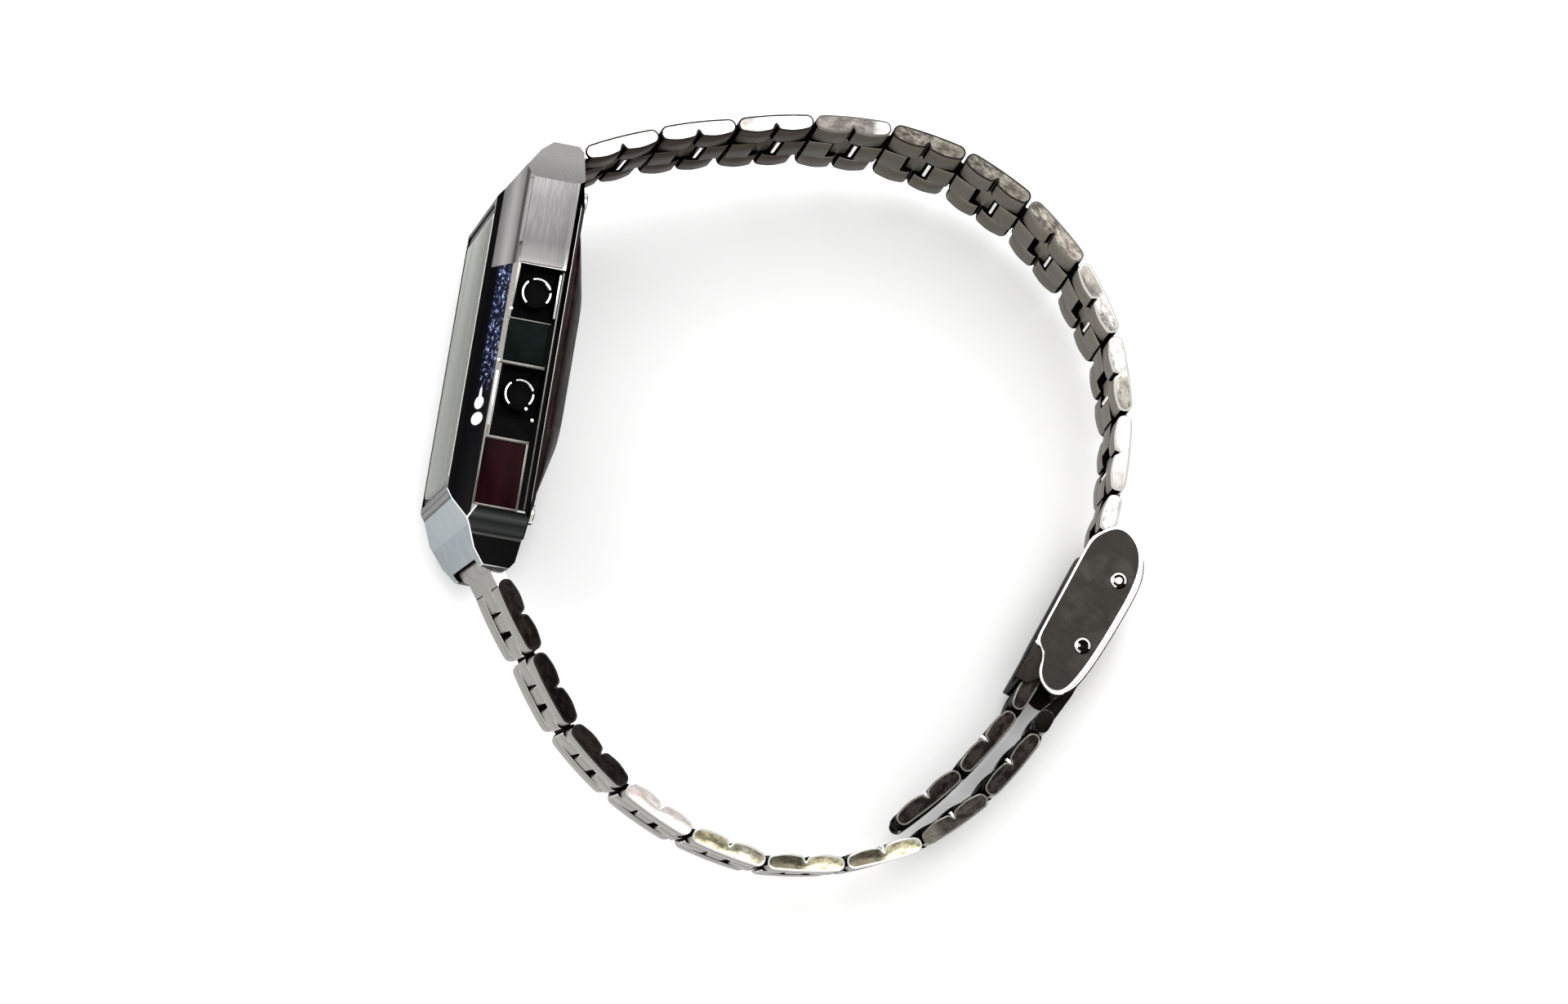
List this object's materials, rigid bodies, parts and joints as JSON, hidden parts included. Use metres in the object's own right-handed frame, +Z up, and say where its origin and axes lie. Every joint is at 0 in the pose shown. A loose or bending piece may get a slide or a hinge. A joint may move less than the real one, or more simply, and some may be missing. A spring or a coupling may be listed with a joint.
{
  "type": "digital wristwatch",
  "caption": "Octagonal digital wristwatch with side push buttons, a folded-link steel bracelet and an adjustable fold-over clasp, lying on its side.",
  "frame": {"origin": "centre of the bounding box's bottom face, on the table that the watch lies on", "axes": "+Z up from the table, roughly across the band; +Y along the case from its lower lug to its upper lug; +X from the dial through the wrist to the clasp"},
  "size_m": [0.067, 0.0694, 0.0365],
  "materials": {
    "case_resin": "chrome-look coated resin, brushed on the end slopes",
    "crystal": "clear, polished",
    "gasket": "matt black",
    "dial": "printed satin mask",
    "lcd": "satin polariser, grey-green",
    "figures": "dark liquid crystal segments",
    "diffuser": "milky light panel",
    "zebra": "layered elastomer",
    "housing": "moulded, matt",
    "board": "green laminate",
    "component": "black potting",
    "cell": "bright nickel",
    "spring_steel": "bright",
    "buzzer": "plain",
    "back_steel": "brushed, dark",
    "inlay_black": "polished black",
    "inlay_red": "polished dark red",
    "inlay_grey": "satin grey",
    "button_chrome": "polished",
    "band_steel": "brushed, polished edges",
    "clasp_steel": "brushed sides with a polished border"
  },
  "bodies": {
    "case": {"case_body": "case_resin", "crystal": "crystal", "crystal_gasket": "gasket", "dial_mask": "dial", "lcd_panel": "lcd", "lcd_digits": "figures", "backlight": "diffuser", "zebra_strips": "zebra", "module_housing": "housing", "circuit_board": "board", "chip_and_quartz": "component", "coin_cell": "cell", "battery_clip": "spring_steel", "buzzer": "buzzer", "back_gasket": "gasket", "case_back": "back_steel", "back_screws": "spring_steel", "inlays_black": "inlay_black", "inlays_red": "inlay_red", "inlays_grey": "inlay_grey", "spring_bars": "spring_steel", "button_spring_near_top": "spring_steel", "button_spring_near_bottom": "spring_steel", "button_spring_far_top": "spring_steel", "button_spring_far_bottom": "spring_steel", "button_seals": "gasket"},
    "button_near_top": {"button_near_top": "button_chrome"},
    "button_near_bottom": {"button_near_bottom": "button_chrome"},
    "button_far_top": {"button_far_top": "button_chrome"},
    "button_far_bottom": {"button_far_bottom": "button_chrome"},
    "upper_link_01": {"upper_link_01": "band_steel"},
    "upper_link_02": {"upper_link_02": "band_steel"},
    "upper_link_03": {"upper_link_03": "band_steel"},
    "upper_link_04": {"upper_link_04": "band_steel"},
    "upper_link_05": {"upper_link_05": "band_steel"},
    "upper_link_06": {"upper_link_06": "band_steel"},
    "upper_link_07": {"upper_link_07": "band_steel"},
    "upper_link_08": {"upper_link_08": "band_steel"},
    "upper_link_09": {"upper_link_09": "band_steel"},
    "upper_link_10": {"upper_link_10": "band_steel"},
    "upper_link_11": {"upper_link_11": "band_steel"},
    "clasp": {"clasp_frame": "clasp_steel", "clasp_pins": "spring_steel", "catch_bar": "spring_steel", "upper_link_12": "band_steel", "upper_link_13": "band_steel"},
    "clasp_cover": {"clasp_cover": "clasp_steel"},
    "lock_plate": {"lock_plate": "clasp_steel"},
    "upper_link_14": {"upper_link_14": "band_steel"},
    "upper_link_15": {"upper_link_15": "band_steel"},
    "lower_link_01": {"lower_link_01": "band_steel"},
    "lower_link_02": {"lower_link_02": "band_steel"},
    "lower_link_03": {"lower_link_03": "band_steel"},
    "lower_link_04": {"lower_link_04": "band_steel"},
    "lower_link_05": {"lower_link_05": "band_steel"},
    "lower_link_06": {"lower_link_06": "band_steel"},
    "lower_link_07": {"lower_link_07": "band_steel"},
    "lower_link_08": {"lower_link_08": "band_steel"},
    "lower_link_09": {"lower_link_09": "band_steel"},
    "hook_end": {"hook_end": "band_steel"}
  },
  "joints": [
    {"name": "upper_hinge_01", "type": "hinge", "parent": "case", "child": "upper_link_01", "pos_m": [-0.02605, 0.0254, 0.01807], "axis": [0.184, 0, 0.9829], "range_deg": [0, 25.8]},
    {"name": "upper_hinge_02", "type": "hinge", "parent": "upper_link_01", "child": "upper_link_02", "pos_m": [-0.01755, 0.02946, 0.01648], "axis": [0.1616, 0, 0.9869], "range_deg": [0, 3.28]},
    {"name": "upper_hinge_03", "type": "hinge", "parent": "upper_link_02", "child": "upper_link_03", "pos_m": [-0.01062, 0.03162, 0.01534], "axis": [0.1392, 0, 0.9903], "range_deg": [0, 1.6]},
    {"name": "upper_hinge_04", "type": "hinge", "parent": "upper_link_03", "child": "upper_link_04", "pos_m": [-0.00353, 0.03329, 0.01435], "axis": [0.1167, 0, 0.9932], "range_deg": [0, 3.56]},
    {"name": "upper_hinge_05", "type": "hinge", "parent": "upper_link_04", "child": "upper_link_05", "pos_m": [0.00375, 0.03385, 0.01349], "axis": [0.0958, 0, 0.9954], "range_deg": [0, 5.52]},
    {"name": "upper_hinge_06", "type": "hinge", "parent": "upper_link_05", "child": "upper_link_06", "pos_m": [0.01097, 0.03266, 0.0128], "axis": [0.0767, 0, 0.9971], "range_deg": [0, 6.48]},
    {"name": "upper_hinge_07", "type": "hinge", "parent": "upper_link_06", "child": "upper_link_07", "pos_m": [0.01758, 0.02949, 0.01229], "axis": [0.061, 0, 0.9981], "range_deg": [0, 5.88]},
    {"name": "upper_hinge_08", "type": "hinge", "parent": "upper_link_07", "child": "upper_link_08", "pos_m": [0.02318, 0.02474, 0.01195], "axis": [0.0489, 0, 0.9988], "range_deg": [0, 6.24]},
    {"name": "upper_hinge_09", "type": "hinge", "parent": "upper_link_08", "child": "upper_link_09", "pos_m": [0.0273, 0.01866, 0.01175], "axis": [0.0366, 0, 0.9993], "range_deg": [0, 6.76]},
    {"name": "upper_hinge_10", "type": "hinge", "parent": "upper_link_09", "child": "upper_link_10", "pos_m": [0.02947, 0.01164, 0.01167], "axis": [0.0279, 0, 0.9996], "range_deg": [0, 5.68]},
    {"name": "upper_hinge_11", "type": "hinge", "parent": "upper_link_10", "child": "upper_link_11", "pos_m": [0.02985, 0.0043, 0.01165], "axis": [0.0227, 0, 0.9997], "range_deg": [0, 4.24]},
    {"name": "clasp_hinge", "type": "hinge", "parent": "upper_link_11", "child": "clasp", "pos_m": [0.02888, -0.00299, 0.01168], "axis": [0.0209, 0, 0.9998], "range_deg": [0, 5.12]},
    {"name": "lower_hinge_01", "type": "hinge", "parent": "case", "child": "lower_link_01", "pos_m": [-0.02605, -0.0112, 0.01807], "axis": [-0.184, 0, -0.9829], "range_deg": [0, 35.3]},
    {"name": "lower_hinge_02", "type": "hinge", "parent": "lower_link_01", "child": "lower_link_02", "pos_m": [-0.02071, -0.01874, 0.01707], "axis": [-0.1702, 0, -0.9854], "range_deg": [0, 1.1]},
    {"name": "lower_hinge_03", "type": "hinge", "parent": "lower_link_02", "child": "lower_link_03", "pos_m": [-0.01637, -0.02463, 0.01632], "axis": [-0.1564, 0, -0.9877], "range_deg": [0, 14.7]},
    {"name": "lower_hinge_04", "type": "hinge", "parent": "lower_link_03", "child": "lower_link_04", "pos_m": [-0.01069, -0.02921, 0.01542], "axis": [-0.1392, 0, -0.9903], "range_deg": [0, 13.3]},
    {"name": "lower_hinge_05", "type": "hinge", "parent": "lower_link_04", "child": "lower_link_05", "pos_m": [-0.00412, -0.03236, 0.0145], "axis": [-0.1219, 0, -0.9925], "range_deg": [0, 13.8]},
    {"name": "lower_hinge_06", "type": "hinge", "parent": "lower_link_05", "child": "lower_link_06", "pos_m": [0.00303, -0.03385, 0.01362], "axis": [-0.1028, 0, -0.9947], "range_deg": [0, 19.6]},
    {"name": "lower_hinge_07", "type": "hinge", "parent": "lower_link_06", "child": "lower_link_07", "pos_m": [0.01027, -0.03286, 0.01287], "axis": [-0.0837, 0, -0.9965], "range_deg": [0, 16.8]},
    {"name": "lower_hinge_08", "type": "hinge", "parent": "lower_link_07", "child": "lower_link_08", "pos_m": [0.01693, -0.02981, 0.01231], "axis": [-0.0628, 0, -0.998], "range_deg": [0, 19.3]},
    {"name": "lower_hinge_09", "type": "hinge", "parent": "lower_link_08", "child": "lower_link_09", "pos_m": [0.02223, -0.02472, 0.01198], "axis": [-0.0419, 0, -0.9991], "range_deg": [0, 14.7]},
    {"name": "hook_hinge", "type": "hinge", "parent": "lower_link_09", "child": "hook_end", "pos_m": [0.02605, -0.01845, 0.01182], "axis": [-0.0227, 0, -0.9997], "range_deg": [0, 11]},
    {"name": "cover_hinge", "type": "hinge", "parent": "clasp", "child": "clasp_cover", "pos_m": [0.03121, -0.00391, 0.01163], "axis": [0.0209, 0, 0.9998], "range_deg": [0, 100]},
    {"name": "lock_hinge", "type": "hinge", "parent": "clasp", "child": "lock_plate", "pos_m": [0.03012, -0.00526, 0.01165], "axis": [0.0209, 0, 0.9998], "range_deg": [0, 15]},
    {"name": "tail_hinge_14", "type": "hinge", "parent": "clasp", "child": "upper_link_14", "pos_m": [0.02376, -0.01677, 0.01178], "axis": [-0.0209, 0, -0.9998], "range_deg": [0, 30]},
    {"name": "tail_hinge_15", "type": "hinge", "parent": "upper_link_14", "child": "upper_link_15", "pos_m": [0.01982, -0.02297, 0.01187], "axis": [-0.0209, 0, -0.9998], "range_deg": [0, 30]},
    {"name": "press_near_top", "type": "slide", "parent": "case", "child": "button_near_top", "axis": [-0.184, 0, -0.9829], "range_m": [0, 0.0005], "stiffness_N_per_m": 400, "springref_m": -0.0005, "deforming": ["button_spring_near_top"]},
    {"name": "press_near_bottom", "type": "slide", "parent": "case", "child": "button_near_bottom", "axis": [-0.184, 0, -0.9829], "range_m": [0, 0.0005], "stiffness_N_per_m": 400, "springref_m": -0.0005, "deforming": ["button_spring_near_bottom"]},
    {"name": "press_far_top", "type": "slide", "parent": "case", "child": "button_far_top", "axis": [0.184, 0, 0.9829], "range_m": [0, 0.0005], "stiffness_N_per_m": 400, "springref_m": -0.0005, "deforming": ["button_spring_far_top"]},
    {"name": "press_far_bottom", "type": "slide", "parent": "case", "child": "button_far_bottom", "axis": [0.184, 0, 0.9829], "range_m": [0, 0.0005], "stiffness_N_per_m": 400, "springref_m": -0.0005, "deforming": ["button_spring_far_bottom"]}
  ],
  "couplings": [
    {"joint": "upper_hinge_02", "follows": "upper_hinge_01", "ratio": 0.12713},
    {"joint": "upper_hinge_03", "follows": "upper_hinge_01", "ratio": 0.062016},
    {"joint": "upper_hinge_04", "follows": "upper_hinge_01", "ratio": 0.13798},
    {"joint": "upper_hinge_05", "follows": "upper_hinge_01", "ratio": 0.21395},
    {"joint": "upper_hinge_06", "follows": "upper_hinge_01", "ratio": 0.25116},
    {"joint": "upper_hinge_07", "follows": "upper_hinge_01", "ratio": 0.22791},
    {"joint": "upper_hinge_08", "follows": "upper_hinge_01", "ratio": 0.24186},
    {"joint": "upper_hinge_09", "follows": "upper_hinge_01", "ratio": 0.26202},
    {"joint": "upper_hinge_10", "follows": "upper_hinge_01", "ratio": 0.22016},
    {"joint": "upper_hinge_11", "follows": "upper_hinge_01", "ratio": 0.16434},
    {"joint": "clasp_hinge", "follows": "upper_hinge_01", "ratio": 0.19845},
    {"joint": "lower_hinge_01", "follows": "upper_hinge_01", "ratio": 1.3682},
    {"joint": "lower_hinge_02", "follows": "upper_hinge_01", "ratio": 0.042636},
    {"joint": "lower_hinge_03", "follows": "upper_hinge_01", "ratio": 0.56977},
    {"joint": "lower_hinge_04", "follows": "upper_hinge_01", "ratio": 0.5155},
    {"joint": "lower_hinge_05", "follows": "upper_hinge_01", "ratio": 0.53488},
    {"joint": "lower_hinge_06", "follows": "upper_hinge_01", "ratio": 0.75969},
    {"joint": "lower_hinge_07", "follows": "upper_hinge_01", "ratio": 0.65116},
    {"joint": "lower_hinge_08", "follows": "upper_hinge_01", "ratio": 0.74806},
    {"joint": "lower_hinge_09", "follows": "upper_hinge_01", "ratio": 0.56977},
    {"joint": "hook_hinge", "follows": "upper_hinge_01", "ratio": 0.42636}
  ]
}
